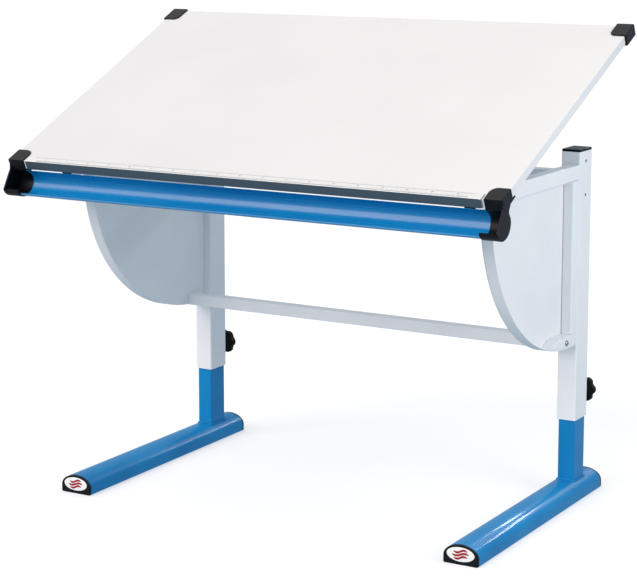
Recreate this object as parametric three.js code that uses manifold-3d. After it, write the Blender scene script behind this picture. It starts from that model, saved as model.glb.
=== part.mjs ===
// A child's drafting desk: a tilting top on a height-adjustable steel frame.
//
// Millimetres, +X right, +Y back, +Z up, with the origin on the floor in the middle of the
// footprint. The parts of the tilting top are drawn in the board's own frame: x along the
// desk, u back along the board and v up out of its top face, starting at the front edge.

import * as THREE from 'three'
import { mergeVertices } from 'three/addons/utils/BufferGeometryUtils.js'
import Module from 'manifold-3d'

const wasm = await Module()
wasm.setup()

// ---------------------------------------------------------------- driving dimensions

const gap = 0.3 // air between pieces that touch
const sides = { left: -1, right: 1 }

const foot = {
  x: 436, width: 71, height: 38, sideHeight: 15, corner: 2, wall: 2.5, front: -251.3, back: 332.7,
}
const footCap = { thick: 5, plug: 16, plugGap: 0.5 }
const badge = { width: 56, height: 27, thick: 0.8, z: 20 }

const post = { x: 436, y: 253.5, width: 40, depth: 60, wall: 1.5, bottom: 162, top: 706 }
const leg = { width: 35, depth: 55, wall: 2, top: 478 }
const postCap = { thick: 5, plug: 12 }
const glide = { thick: 12, plug: 18, play: 1 }

const bar = { bottom: 651.5, top: 681.5, front: -246, wall: 1.8, head: 4, plug: 14 }
const tube = { inner: 434.3, outer: 456 } // the side frame's tubes, measured out from the middle
const sheet = { inner: 432.5, outer: 434 }
const stile = { depth: 30 }
const rim = { y: 192.5, long: 373, tall: 332, thick: 3 } // a quarter ellipse below the top bar
const lug = { front: 98, top: 345.5, slant: 26 }
const stretcher = { y: 171.5, z: 332.5, size: 25, wall: 1.5, end: 14 }
const rail = {
  y: 253.5, depth: 30, bottom: 605, top: 665, wall: 1.5,
  plate: 3.5, plateDepth: 34, plateBottom: 603, plateTop: 699, low: 618, high: 686, // end plates, bolts
}

const tilt = THREE.MathUtils.degToRad(24.5)
const edge = { y: -314.5, z: 685.5 } // the top's front edge as it stands
const board = { half: 537, thick: 18, front: 2.5, back: 647 }
const corner = { length: 37, outer: 539.3, skin: 2.2, depth: 39.5, tail: 51 }
const clip = { length: 36, outer: 541.3, front: 604, back: 651, skin: 2.5 }
const ruler = { end: 497.5, width: 18, thick: 1.5, drop: 17.5 }
const trough = { u: -11, v: -44, long: 26, deep: 22, wall: 2.4, top: -20.3, sweep: 156 }
const cheek = { long: 29, deep: 25, wall: 4.6, thick: 4 }

const pivot = { y: -190, z: 666.5, radius: 5 }
const quadrant = {
  inner: 427.5, outer: 431.5, radius: 150, half: 12, low: -40, boss: 14, tail: 26, flange: 26, thick: 2,
}
const bolt = { stretcher: 3, rail: 2.9, play: 0.4, keyHole: 3.6 } // shank radii, and the air round them
const swing = { down: 24.5, up: 10.5 } // degrees the top turns from where it stands
const clamp = { radius: 4, tip: 404, knob: 19, lobes: 5, face: 401, back: 416, hub: 9, hubEnd: 424.7 }
const washer = { radius: 11, inner: 425, outer: 427.2 }
const buffer = { u: 548, radius: 11, thick: 5 }
const knob = {
  z: 209.5, radius: 27.5, lobes: 7, dip: 0.14, start: 14, face: 25, hub: 13, hubStart: 3,
  screw: 4, screwEnd: 14, tip: 281.4,
}

// ---------------------------------------------------------------- materials

const finish = (color, roughness, metalness = 0) =>
  new THREE.MeshStandardMaterial({ color, roughness, metalness })

const whitePaint = () => finish(0xe2e6ea, 0.45)
const bluePaint = () => finish(0x1f7dbd, 0.4)
const blackPlastic = () => finish(0x15191d, 0.5)
const blueTray = () => finish(0x0b68b2, 0.35)
const laminate = () => finish(0xf2f2f2, 0.55)
const aluminium = () => finish(0xc9ced3, 0.4, 1)
const zincSteel = () => finish(0xa8adb2, 0.45, 1)
const nylon = () => finish(0xd8d8d2, 0.6)
const rubber = () => finish(0x1b1b1c, 0.9)
const enamel = () => finish(0xf4f4f2, 0.3)

// ---------------------------------------------------------------- shapes and solids

const axisX = new THREE.Vector3(1, 0, 0)
const axisY = new THREE.Vector3(0, 1, 0)
const axisZ = new THREE.Vector3(0, 0, 1)

function sweep(shape, length) {
  return new THREE.ExtrudeGeometry(shape, { depth: length, bevelEnabled: false, curveSegments: 2 })
}

// A section drawn in (y, z), carried along X from x0 to x1.
function alongX(shape, x0, x1) {
  const turn = new THREE.Matrix4().makeBasis(axisY, axisZ, axisX)
  const start = Math.min(x0, x1)
  return sweep(shape, Math.abs(x1 - x0)).applyMatrix4(turn).translate(start, 0, 0)
}

// A section drawn in (x, z), carried along Y from y0 to y1.
function alongY(shape, y0, y1) {
  const turn = new THREE.Matrix4().makeBasis(axisX, axisZ, axisY.clone().negate())
  return sweep(shape, y1 - y0).applyMatrix4(turn).translate(0, y1, 0)
}

// A section drawn in (x, y), carried up Z from z0 to z1.
function alongZ(shape, z0, z1) {
  return sweep(shape, z1 - z0).translate(0, 0, z0)
}

function box([x0, x1], [y0, y1], [z0, z1]) {
  const block = new THREE.BoxGeometry(Math.abs(x1 - x0), Math.abs(y1 - y0), Math.abs(z1 - z0))
  return block.translate((x0 + x1) / 2, (y0 + y1) / 2, (z0 + z1) / 2)
}

// A round bar along X, Y or Z; a is its centre in the other two axes, in X, Y, Z order.
function rod(axis, radius, from, to, a, segments = 20) {
  const pin = new THREE.CylinderGeometry(radius, radius, Math.abs(to - from), segments)
  const middle = (from + to) / 2
  if (axis === 'x') return pin.rotateZ(Math.PI / 2).translate(middle, a[0], a[1])
  if (axis === 'y') return pin.translate(a[0], middle, a[1])
  return pin.rotateX(Math.PI / 2).translate(a[0], a[1], middle)
}

function outline(points) {
  return new THREE.Shape(points.map(([a, b]) => new THREE.Vector2(a, b)))
}

function rectangle(width, height, [a, b] = [0, 0], radius = 0) {
  const shape = new THREE.Shape()
  const [w, h] = [width / 2, height / 2]
  const corners = [[a - w, b - h], [a + w, b - h], [a + w, b + h], [a - w, b + h]]
  if (radius === 0) return outline(corners)
  shape.absarc(a + w - radius, b - h + radius, radius, -Math.PI / 2, 0)
  shape.absarc(a + w - radius, b + h - radius, radius, 0, Math.PI / 2)
  shape.absarc(a - w + radius, b + h - radius, radius, Math.PI / 2, Math.PI)
  shape.absarc(a - w + radius, b - h + radius, radius, Math.PI, 1.5 * Math.PI)
  shape.closePath()
  return shape
}

// A rectangular tube's section.
function tubeSection(width, height, wall, centre = [0, 0], radius = 3) {
  const section = rectangle(width, height, centre, radius)
  section.holes.push(rectangle(width - 2 * wall, height - 2 * wall, centre, radius - wall / 2))
  return section
}

// Points on an ellipse about (a, b) from one angle to another, in degrees.
function ellipsePoints([a, b], [ra, rb], from, to, steps) {
  return Array.from({ length: steps + 1 }, (_, i) => {
    const angle = THREE.MathUtils.degToRad(from + ((to - from) * i) / steps)
    return [a + ra * Math.cos(angle), b + rb * Math.sin(angle)]
  })
}

// ---------------------------------------------------------------- joining and cutting

function toManifold(geometry) {
  const bare = geometry.clone()
  bare.deleteAttribute('normal')
  bare.deleteAttribute('uv')
  const merged = mergeVertices(bare, 1e-4)
  const mesh = new wasm.Mesh({
    numProp: 3,
    vertProperties: new Float32Array(merged.attributes.position.array),
    triVerts: new Uint32Array(merged.index.array),
  })
  return new wasm.Manifold(mesh)
}

function toGeometry(solid) {
  const mesh = solid.getMesh()
  const geometry = new THREE.BufferGeometry()
  geometry.setAttribute('position', new THREE.BufferAttribute(mesh.vertProperties, 3))
  geometry.setIndex(new THREE.BufferAttribute(mesh.triVerts, 1))
  geometry.computeVertexNormals()
  return geometry
}

function join(first, ...rest) {
  return toGeometry(rest.reduce((solid, piece) => solid.add(toManifold(piece)), toManifold(first)))
}

function cut(body, ...tools) {
  return toGeometry(tools.reduce((solid, tool) => solid.subtract(toManifold(tool)), toManifold(body)))
}

// ---------------------------------------------------------------- the scene graph

const desk = new THREE.Group()
const base = new THREE.Group() // stands on the floor
const frame = new THREE.Group() // slides up and down on the base's legs
const top = new THREE.Group() // tilts on the frame
desk.add(base, frame, top)
top.position.set(0, edge.y, edge.z)
top.rotation.x = tilt

function add(group, name, geometry, material) {
  const mesh = new THREE.Mesh(geometry, material)
  mesh.name = name
  group.add(mesh)
}

// ---------------------------------------------------------------- feet

// The foot's section: flat below, straight sides, and a low arch over them.
function footSection(inset = 0) {
  const half = foot.width / 2 - inset
  const arch = foot.height - foot.sideHeight - inset
  const floor = inset
  const crown = ellipsePoints([0, foot.sideHeight], [half, arch], 0, 180, 18)
  const { corner: cut } = foot
  return outline([
    [-half + cut, floor], [half - cut, floor], [half, floor + cut], ...crown, [-half, floor + cut],
  ])
}

function makeFoot(name, x) {
  const section = footSection()
  section.holes.push(footSection(foot.wall))
  const tubeFront = foot.front + footCap.thick + gap
  const tubeBack = foot.back - footCap.thick - gap
  add(base, `${name}_foot`, alongY(section, tubeFront, tubeBack).translate(x, 0, 0), bluePaint())
}

// A cap: a flange as wide as the tube, and a plug that goes inside it.
function makeFootCap(name, x, end) {
  const sign = end === 'front' ? -1 : 1
  const outer = foot[end]
  const inner = outer - sign * footCap.thick
  const tip = inner - sign * footCap.plug
  const flange = alongY(footSection(), Math.min(outer, inner), Math.max(outer, inner))
  const plug = alongY(footSection(foot.wall + footCap.plugGap), Math.min(inner, tip), Math.max(inner, tip))
  add(base, `${name}_foot_${end}_cap`, join(flange, plug).translate(x, 0, 0), blackPlastic())
}

function makeBadge(name, x) {
  const oval = outline(ellipsePoints([0, badge.z], [badge.width / 2, badge.height / 2], 0, 350, 35))
  const plate = alongY(oval, foot.front - gap - badge.thick, foot.front - gap)
  add(base, `${name}_foot_badge`, plate.translate(x, 0, 0), enamel())
}

// ---------------------------------------------------------------- telescoping legs

function makeLeg(name, x) {
  const section = tubeSection(leg.width, leg.depth, leg.wall, [0, post.y], 4)
  const column = alongZ(section, foot.sideHeight, leg.top)
  const crown = alongY(footSection(-gap), foot.front, foot.back)
  add(base, `${name}_leg`, cut(column, crown).translate(x, 0, 0), bluePaint())
}

// The glide closes the leg's top and runs on the inside of the post.
function makeGlide(name, x) {
  const clearance = 2 * (post.wall + gap)
  const head = rectangle(post.width - clearance, post.depth - clearance, [0, post.y], 2)
  const inside = 2 * leg.wall + glide.play
  const plug = rectangle(leg.width - inside, leg.depth - inside, [0, post.y], 2)
  const solid = join(
    alongZ(head, leg.top + gap, leg.top + glide.thick),
    alongZ(plug, leg.top - glide.plug, leg.top + 2)
  )
  add(base, `${name}_leg_glide`, solid.translate(x, 0, 0), nylon())
}

function makePost(name, side) {
  const x = side * post.x
  const body = alongZ(tubeSection(post.width, post.depth, post.wall, [x, post.y]), post.bottom, post.top)
  const inFace = x - (side * post.width) / 2
  const outFace = x + (side * post.width) / 2
  const holes = [rail.low, rail.high].flatMap((z) => [
    rod('x', bolt.rail + bolt.play, inFace - side * 2, x, [post.y, z], 16),
    rod('x', bolt.keyHole, x, outFace + side * 2, [post.y, z], 16),
  ])
  const rear = post.y + post.depth / 2
  holes.push(rod('y', knob.screw + bolt.play, rear - 6, rear + 2, [x, knob.z], 16))
  add(frame, `${name}_post`, cut(body, ...holes), whitePaint())
}

function makePostCap(name, x) {
  const inside = 2 * (post.wall + gap)
  const rimShape = rectangle(post.width, post.depth, [x, post.y], 3)
  const lid = alongZ(rimShape, post.top + gap, post.top + postCap.thick)
  const fit = rectangle(post.width - inside, post.depth - inside, [x, post.y], 1.5)
  const plug = alongZ(fit, post.top - postCap.plug, post.top + 2)
  add(frame, `${name}_post_cap`, join(lid, plug), blackPlastic())
}

// ---------------------------------------------------------------- side frames

const span = (side, inner = tube.inner, outer = tube.outer) => [side * inner, side * outer]
const through = (side) => span(side, sheet.inner - 4, tube.outer + 4) // a hole's reach
const postFront = post.y - post.depth / 2
const stileFront = postFront - stile.depth
const tubeWidth = tube.outer - tube.inner
const tubeMiddle = (tube.outer + tube.inner) / 2

function makeTopBar(name, side) {
  const x = side * tubeMiddle
  const middle = [x, (bar.top + bar.bottom) / 2]
  const section = tubeSection(tubeWidth, bar.top - bar.bottom, bar.wall, middle)
  const body = alongY(section, bar.front + gap, postFront - gap)
  const hole = rod('x', pivot.radius + gap, ...through(side), [pivot.y, pivot.z])
  add(frame, `${name}_top_bar`, cut(body, hole), whitePaint())
}

function makeBarPlug(name, side) {
  const x = side * tubeMiddle
  const z = (bar.top + bar.bottom) / 2
  const height = bar.top - bar.bottom
  const inside = 2 * (bar.wall + gap)
  const head = alongY(rectangle(tubeWidth, height, [x, z], 3), bar.front - bar.head, bar.front)
  const fit = rectangle(tubeWidth - inside, height - inside, [x, z], 1.5)
  const plug = alongY(fit, bar.front - 1, bar.front + bar.plug)
  add(frame, `${name}_bar_plug`, join(head, plug), blackPlastic())
}

function makeStile(name, side) {
  const centre = [side * tubeMiddle, stileFront + stile.depth / 2 - gap]
  const section = tubeSection(tubeWidth, stile.depth, bar.wall, centre)
  add(frame, `${name}_stile`, alongZ(section, lug.top + gap, bar.bottom - gap), whitePaint())
}

// The rim is a strip bent on edge: a quarter ellipse from the top bar down, then level.
function rimCurve(inset, steps = 28) {
  const centre = [rim.y, bar.bottom]
  return ellipsePoints(centre, [rim.long - inset, rim.tall - inset], 180, 270, steps)
}

function makeRim(name, side) {
  const end = postFront - gap
  const outer = rimCurve(0)
  const inner = rimCurve(rim.thick).reverse()
  outer[0][1] -= gap
  inner[inner.length - 1][1] -= gap
  const floor = bar.bottom - rim.tall
  const strip = outline([...outer, [end, floor], [end, floor + rim.thick], ...inner])
  const body = alongX(strip, ...span(side))
  add(frame, `${name}_rim`, body, whitePaint())
}

// The lug fills the rim's lower corner and takes the stretcher's bolt.
function makeLug(name, side) {
  const end = postFront - gap
  const lift = rim.thick + gap
  const floor = rimCurve(lift, 60).filter(([y]) => y > lug.front)
  const corner = [end, bar.bottom - rim.tall + lift]
  const block = outline([...floor, corner, [end, lug.top], [lug.front + lug.slant, lug.top]])
  const hole = rod('x', bolt.stretcher + bolt.play, ...through(side), [stretcher.y, stretcher.z], 16)
  add(frame, `${name}_lug`, cut(alongX(block, ...span(side)), hole), whitePaint())
}

function makeSheet(name, side) {
  const floor = bar.bottom - rim.tall
  const end = postFront - gap
  const panel = outline([...rimCurve(0), [end, floor], [end, bar.top], [rim.y - rim.long, bar.top]])
  const plate = alongX(panel, ...span(side, sheet.inner, sheet.outer))
  const studHole = rod('x', clamp.radius + gap, ...through(side), [pivot.y + quadrant.radius, pivot.z], 16)
  const boltHole = rod('x', bolt.stretcher + bolt.play, ...through(side), [stretcher.y, stretcher.z], 16)
  add(frame, `${name}_side_sheet`, cut(plate, studHole, boltHole), whitePaint())
}

// ---------------------------------------------------------------- cross members

function makeStretcher() {
  const half = sheet.inner - gap
  const { y, z, size, wall, end } = stretcher
  const body = alongX(rectangle(size, size, [y, z], 2.5), -half, half)
  const inside = size - 2 * wall
  const hollow = alongX(rectangle(inside, inside, [y, z], 1.5), -half + end, half - end)
  const bore = rod('x', bolt.stretcher + bolt.play, -half - 5, half + 5, [y, z], 16)
  add(frame, 'stretcher', cut(body, hollow, bore), whitePaint())
}

function makeStretcherBolt(name, side) {
  const place = [stretcher.y, stretcher.z]
  const head = rod('x', 5.8, side * (tube.outer + gap), side * (tube.outer + 4), place)
  const shank = rod('x', bolt.stretcher, side * (sheet.inner - 20), side * (tube.outer + 2), place, 16)
  add(frame, `${name}_stretcher_bolt`, join(head, shank), zincSteel())
}

function makeRail() {
  const inFace = post.x - post.width / 2 - gap
  const plateIn = inFace - rail.plate
  const middle = (rail.bottom + rail.top) / 2
  const section = tubeSection(rail.depth, rail.top - rail.bottom, rail.wall, [rail.y, middle])
  const plateY = [rail.y - rail.plateDepth / 2, rail.y + rail.plateDepth / 2]
  const plates = [-1, 1].map((side) =>
    box([side * plateIn, side * inFace], plateY, [rail.plateBottom, rail.plateTop])
  )
  const reach = [-inFace - 5, -plateIn + 5]
  const bores = [rail.low, rail.high].flatMap((z) =>
    [-1, 1].map((side) => rod('x', bolt.rail + bolt.play, side * reach[0], side * reach[1], [rail.y, z], 16))
  )
  const body = join(alongX(section, -plateIn - 0.5, plateIn + 0.5), ...plates)
  add(frame, 'rear_rail', cut(body, ...bores), whitePaint())
}

// The rail's bolts sit inside the post, and a key reaches them through its outer wall.
function makeRailBolt(name, side, level) {
  const wallIn = post.x - post.width / 2 + post.wall
  const head = rod('x', 5.5, side * (wallIn + gap), side * (wallIn + 5), [post.y, rail[level]])
  const shank = rod('x', bolt.rail, side * (wallIn - 10), side * (wallIn + 2), [post.y, rail[level]], 16)
  add(frame, `${name}_rail_bolt_${level}`, join(head, shank), zincSteel())
}

// ---------------------------------------------------------------- the top

// The trough's wall: down and back from its top edge, then round an ellipse to the low lip.
function troughCurve(offset, steps = 14) {
  const back = [trough.u + trough.long + offset, trough.v]
  const start = [offset * 0.8, trough.top]
  const wall = new THREE.QuadraticBezierCurve(
    new THREE.Vector2(...start),
    new THREE.Vector2(back[0] - 1.5, -30),
    new THREE.Vector2(...back)
  )
  const radii = [trough.long + offset, trough.deep + offset]
  const bowl = ellipsePoints([trough.u, trough.v], radii, 0, -trough.sweep, steps)
  return [...wall.getPoints(6).map((p) => [p.x, p.y]), ...bowl.slice(1)]
}

function makeTray() {
  const half = trough.wall / 2
  const section = outline([...troughCurve(half), ...troughCurve(-half).reverse()])
  const end = corner.outer - corner.length - gap
  add(top, 'pencil_tray', alongX(section, -end, end), blueTray())
}

function makeRuler() {
  const { width, thick, drop, end } = ruler
  const lift = gap
  const section = outline([
    [0, -drop], [2.1, -drop], [2.1, lift], [width, lift],
    [width, lift + thick], [0.6, lift + thick], [0, lift + thick - 0.6],
  ])
  add(top, 'ruler_rail', alongX(section, -end, end), aluminium())
}

function makeBoard() {
  const middle = (board.front + board.back) / 2
  const sheetShape = rectangle(2 * board.half, board.back - board.front, [0, middle])
  add(top, 'tabletop', alongZ(sheetShape, -board.thick, 0), laminate())
}

// A corner block seen from above: square to the outside, rounded on its inner corner.
function cornerPlan(side, outer, length, near, far, radius, roundFar) {
  const inner = outer - length
  const sweepCorner = (u, towards) => {
    const centre = [inner + radius, u + towards * radius]
    const [from, to] = towards < 0 ? [90, 180] : [180, 270]
    return ellipsePoints(centre, [radius, radius], from, to, 6)
  }
  const points = roundFar
    ? [[inner, near], [outer, near], [outer, far], ...sweepCorner(far, -1)]
    : [...sweepCorner(near, 1), [outer, near], [outer, far], [inner, far]]
  return outline(points.map(([x, u]) => [side * x, u]))
}

// The room that a corner piece leaves for the board.
function boardPocket(side, near, far) {
  return box([side * 300, side * (board.half + gap)], [near, far], [-board.thick - gap, gap])
}

function makeTrayCap(name, side) {
  const { length, outer, skin, depth, tail } = corner
  const inner = outer - length
  const blockPlan = cornerPlan(side, outer, length, 0, depth, 16, true)
  const floor = -board.thick - 3.2
  const block = alongZ(blockPlan, floor, skin + gap)
  const under = -board.thick - gap
  const hook = box([side * (outer - 24), side * outer], [depth - 12, tail], [floor, under])
  const bowl = ellipsePoints([trough.u, trough.v], [cheek.long, cheek.deep], 0, -180, 18)
  const plate = alongX(
    outline([[-0.01, -12], [24, -12], [28, -21], [16, -31], ...bowl, [-38, -41.5], [-4.5, -17]]),
    side * (outer - cheek.thick), side * outer
  )
  const back = [trough.u + cheek.long, trough.v]
  const room = [cheek.long - cheek.wall, cheek.deep - cheek.wall]
  const skinIn = ellipsePoints([trough.u, trough.v], room, -180, 0, 18)
  const sleeve = alongX(
    outline([[0.4, -19.5], [24, -19.5], [17, -31], back, ...bowl.slice(1), ...skinIn, [9.5, -31]]),
    side * inner, side * (outer - cheek.thick + 0.5)
  )
  const solid = cut(join(block, hook, plate, sleeve), boardPocket(side, board.front - gap, 100))
  add(top, `${name}_tray_cap`, solid, blackPlastic())
}

function makeRearClip(name, side) {
  const { length, outer, front, back, skin } = clip
  const plan = cornerPlan(side, outer, length, front, back, 13, false)
  const block = alongZ(plan, -board.thick - gap - skin, gap + skin - 0.5)
  add(top, `${name}_rear_clip`, cut(block, boardPocket(side, 500, board.back + gap)), blackPlastic())
}

// ---------------------------------------------------------------- the tilt

// Where the pivot lies in the board's frame.
function pivotOnBoard() {
  const [dy, dz] = [pivot.y - edge.y, pivot.z - edge.z]
  return [dy * Math.cos(tilt) + dz * Math.sin(tilt), dz * Math.cos(tilt) - dy * Math.sin(tilt)]
}

// The quadrant hangs from the board: a boss at the pivot, and a band with a curved slot
// about the pivot, which lets the clamp's stud pass over the whole range of tilt.
function makeQuadrant(name, side) {
  const [u, v] = pivotOnBoard()
  const under = -board.thick - gap
  const at = (radius, degrees) => ellipsePoints([u, v], [radius, radius], degrees, degrees, 1)[0]
  const arc = (radius, from, to, steps) => ellipsePoints([u, v], [radius, radius], from, to, steps)
  const { radius, half, low, boss, tail } = quadrant
  const rise = under - v
  const highest = THREE.MathUtils.radToDeg(Math.asin(rise / (radius + half)))
  const plan = outline([
    ...arc(boss, 190, 290, 8), at(60, -14), at(radius - half - 6, -22), ...arc(radius - half, -30, low, 3),
    ...arc(radius + half, low, highest, 14), [u - tail, under],
  ])
  const slotHalf = clamp.radius + 0.7
  const spare = 3.4 // degrees past each end of the swing
  const slotFrom = -swing.down - swing.up - spare
  const slotOut = arc(radius + slotHalf, slotFrom, spare, 12)
  plan.holes.push(outline([...slotOut, ...arc(radius - slotHalf, spare, slotFrom, 12)]))
  plan.holes.push(outline([at(48, 4), at(radius - 26, -12), at(radius - 24, 8), at(62, 24)]))
  const plate = alongX(plan, ...span(side, quadrant.inner, quadrant.outer))
  const flange = box(
    [side * (quadrant.inner - quadrant.flange), side * (quadrant.inner + 1)],
    [u - tail, u + Math.sqrt((radius + half) ** 2 - rise ** 2)],
    [under - quadrant.thick, under]
  )
  const hole = rod('x', pivot.radius + gap, ...through(side).map((x) => x - side * 8), [u, v])
  add(top, `${name}_tilt_quadrant`, cut(join(plate, flange), hole), zincSteel())
}

function makePivotBolt(name, side) {
  const head = rod('x', 8, side * (tube.outer + gap), side * (tube.outer + 5), [pivot.y, pivot.z], 6)
  const place = [pivot.y, pivot.z]
  const shank = rod('x', pivot.radius, side * (quadrant.inner - 4.5), side * (tube.outer + 2), place)
  add(frame, `${name}_pivot_bolt`, join(head, shank), zincSteel())
}

function makeClampStud(name, side) {
  const place = [pivot.y + quadrant.radius, pivot.z]
  const pin = rod('x', clamp.radius, side * clamp.tip, side * sheet.outer, place)
  add(frame, `${name}_clamp_stud`, pin, zincSteel())
}

function makeClampWasher(name, side) {
  const place = [pivot.y + quadrant.radius, pivot.z]
  const disc = rod('x', washer.radius, side * washer.inner, side * washer.outer, place, 24)
  const hole = rod('x', clamp.radius + gap, side * (washer.inner - 5), side * (washer.outer + 3), place, 16)
  add(frame, `${name}_clamp_washer`, cut(disc, hole), zincSteel())
}

// A lobed outline: the radius swells and dips once for each lobe.
function lobed(radius, lobes, dip, steps = 8) {
  return outline(
    Array.from({ length: lobes * steps }, (_, i) => {
      const angle = (2 * Math.PI * i) / (lobes * steps)
      const r = radius * (1 - dip * (0.5 - 0.5 * Math.cos(lobes * angle)) ** 2)
      return [r * Math.cos(angle), r * Math.sin(angle)]
    })
  )
}

function makeClampKnob(name, side) {
  const place = [pivot.y + quadrant.radius, pivot.z]
  const star = lobed(clamp.knob, clamp.lobes, 0.22)
  const grip = alongX(star, side * clamp.face, side * clamp.back).translate(0, ...place)
  const hub = rod('x', clamp.hub, side * (clamp.back - 1), side * clamp.hubEnd, place)
  const bore = rod('x', clamp.radius + gap, side * (clamp.tip - 1), side * (clamp.hubEnd + 5), place, 16)
  add(frame, `${name}_clamp_knob`, cut(join(grip, hub), bore), blackPlastic())
}

function makeBuffer(name, side) {
  const under = -board.thick - gap
  const disc = rod('z', buffer.radius, under - buffer.thick, under, [side * post.x, buffer.u])
  add(top, `${name}_rest_buffer`, disc, rubber())
}

// ---------------------------------------------------------------- height clamps

function makeHeightKnob(name, x) {
  const rear = post.y + post.depth / 2
  const start = rear + knob.start
  const collar = rod('y', knob.hub, rear + knob.hubStart, start + 2, [x, knob.z], 24)
  const grip = alongY(lobed(knob.radius, knob.lobes, knob.dip), start, start + knob.face).translate(x, 0, knob.z)
  const bore = rod('y', knob.screw + gap, rear - 1, start + knob.screwEnd, [x, knob.z], 16)
  add(frame, `${name}_height_knob`, cut(join(collar, grip), bore), blackPlastic())
}

function makeHeightScrew(name, x) {
  const rear = post.y + post.depth / 2
  const end = rear + knob.start + knob.screwEnd - 1
  add(frame, `${name}_height_screw`, rod('y', knob.screw, knob.tip, end, [x, knob.z], 16), zincSteel())
}

// ---------------------------------------------------------------- assembly

for (const [name, side] of Object.entries(sides)) {
  makeFoot(name, side * foot.x)
  makeFootCap(name, side * foot.x, 'front')
  makeFootCap(name, side * foot.x, 'back')
  makeBadge(name, side * foot.x)
  makeLeg(name, side * post.x)
  makeGlide(name, side * post.x)

  makePost(name, side)
  makePostCap(name, side * post.x)
  makeTopBar(name, side)
  makeBarPlug(name, side)
  makeStile(name, side)
  makeRim(name, side)
  makeLug(name, side)
  makeSheet(name, side)
  makeStretcherBolt(name, side)
  makeRailBolt(name, side, 'low')
  makeRailBolt(name, side, 'high')
  makePivotBolt(name, side)
  makeClampStud(name, side)
  makeClampWasher(name, side)
  makeClampKnob(name, side)
  makeHeightKnob(name, side * post.x)
  makeHeightScrew(name, side * post.x)

  makeTrayCap(name, side)
  makeRearClip(name, side)
  makeQuadrant(name, side)
  makeBuffer(name, side)
}
makeStretcher()
makeRail()
makeBoard()
makeRuler()
makeTray()

export default desk
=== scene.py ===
import bmesh
import bpy
import numpy as np
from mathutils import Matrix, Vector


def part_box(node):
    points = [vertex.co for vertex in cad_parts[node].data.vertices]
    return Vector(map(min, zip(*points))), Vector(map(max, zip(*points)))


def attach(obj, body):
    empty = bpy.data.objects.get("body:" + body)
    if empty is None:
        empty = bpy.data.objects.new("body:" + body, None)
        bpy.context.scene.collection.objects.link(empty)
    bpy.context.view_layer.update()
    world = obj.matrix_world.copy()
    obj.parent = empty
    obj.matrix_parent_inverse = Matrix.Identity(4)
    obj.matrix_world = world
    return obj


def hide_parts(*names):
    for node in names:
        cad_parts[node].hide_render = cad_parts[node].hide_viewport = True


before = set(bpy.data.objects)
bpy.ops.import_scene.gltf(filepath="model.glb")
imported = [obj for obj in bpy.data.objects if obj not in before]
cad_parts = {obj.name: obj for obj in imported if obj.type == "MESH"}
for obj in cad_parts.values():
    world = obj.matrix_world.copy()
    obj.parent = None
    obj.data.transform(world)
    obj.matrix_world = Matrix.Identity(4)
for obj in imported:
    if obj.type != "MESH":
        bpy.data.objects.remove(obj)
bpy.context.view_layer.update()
scene = bpy.context.scene
sides = {"left": -1, "right": 1}
mm = 0.001
gap = 0.25  # clear space between pieces that sit against each other
hair = 0.12  # a thin row of faces beside each rounded edge, which keeps the flats flat


camera = {"at": (1.9541, -3.3686, 1.1996), "pitch": 8.92, "yaw": 30.24, "lens": 111.8, "shift": -0.13,
          "sensor": 36}
lights = {  # far soft lamps, even over the whole floor; "from" is the way to the lamp
    "overhead": {"from": (-0.45, 0.15, 1), "angle": 80, "strength": 0.95, "colour": "ffebd6"},
    "front": {"from": (-0.3, -1, 0.62), "angle": 56, "strength": 2.35, "colour": "ffefe5"},
}
softboxes = {  # near lamps: one fills the right side, a narrow one behind draws a streak along the feet
    "right": {"at": (1.6, -0.15, 0.85), "to": (0.45, 0.1, 0.55), "size": (0.9, 0.9), "watts": 9,
              "colour": "fff8f2"},
    "behind": {"at": (0.45, 3.2, 1.85), "to": (0.2, 0, 0.1), "size": (1.6, 0.09), "watts": 14,
               "colour": "ffffff"},
}
surround = {"light": "d9edfd", "strength": 0.55, "backdrop": "ffffff", "backdropStrength": 1.05}
floorPlan = {"half": 14.0, "colour": "c3c6ca", "roughness": 0.8, "glow": "fbf8f6", "glowStrength": 0.46}


def srgb(hexCode):
    # each channel c of a hex code to linear: c / 12.92 below 0.04045, else ((c + 0.055) / 1.055) ** 2.4
    c = np.array([int(hexCode[i : i + 2], 16) for i in (0, 2, 4)]) / 255
    linear = np.where(c <= 0.04045, c / 12.92, ((c + 0.055) / 1.055) ** 2.4)
    return (*linear.tolist(), 1.0)


def addNode(tree, kind, settings=None, links=None):
    # one node, with its own settings or input values, and what feeds its inputs
    made = tree.nodes.new(kind)
    for name, value in (settings or {}).items():
        if isinstance(name, str) and hasattr(made, name):
            setattr(made, name, value)
        else:
            made.inputs[name].default_value = value
    for name, source in (links or {}).items():
        tree.links.new(source, made.inputs[name])
    return made


def makeCamera():
    view = bpy.data.cameras.new("camera")
    view.lens = camera["lens"]
    view.sensor_width = camera["sensor"]
    view.shift_y = camera["shift"]
    seen = bpy.data.objects.new("camera", view)
    seen.location = camera["at"]
    seen.rotation_euler = np.radians((90 - camera["pitch"], 0, camera["yaw"]))
    scene.collection.objects.link(seen)
    scene.camera = seen


def hangLamp(name, lamp, kind, at, aim):
    # a lamp looks down its own -Z, so it leans by atan(flat / -aimZ) and turns by atan(-aimX / aimY)
    made = bpy.data.lights.new(name, kind)
    made.color = srgb(lamp["colour"])[:3]
    holder = bpy.data.objects.new(name, made)
    holder.location = at
    flat = np.hypot(aim[0], aim[1])
    holder.rotation_euler = (np.arctan2(flat, -aim[2]), 0, np.arctan2(-aim[0], aim[1]))
    holder.visible_camera = False
    scene.collection.objects.link(holder)
    return made


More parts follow.
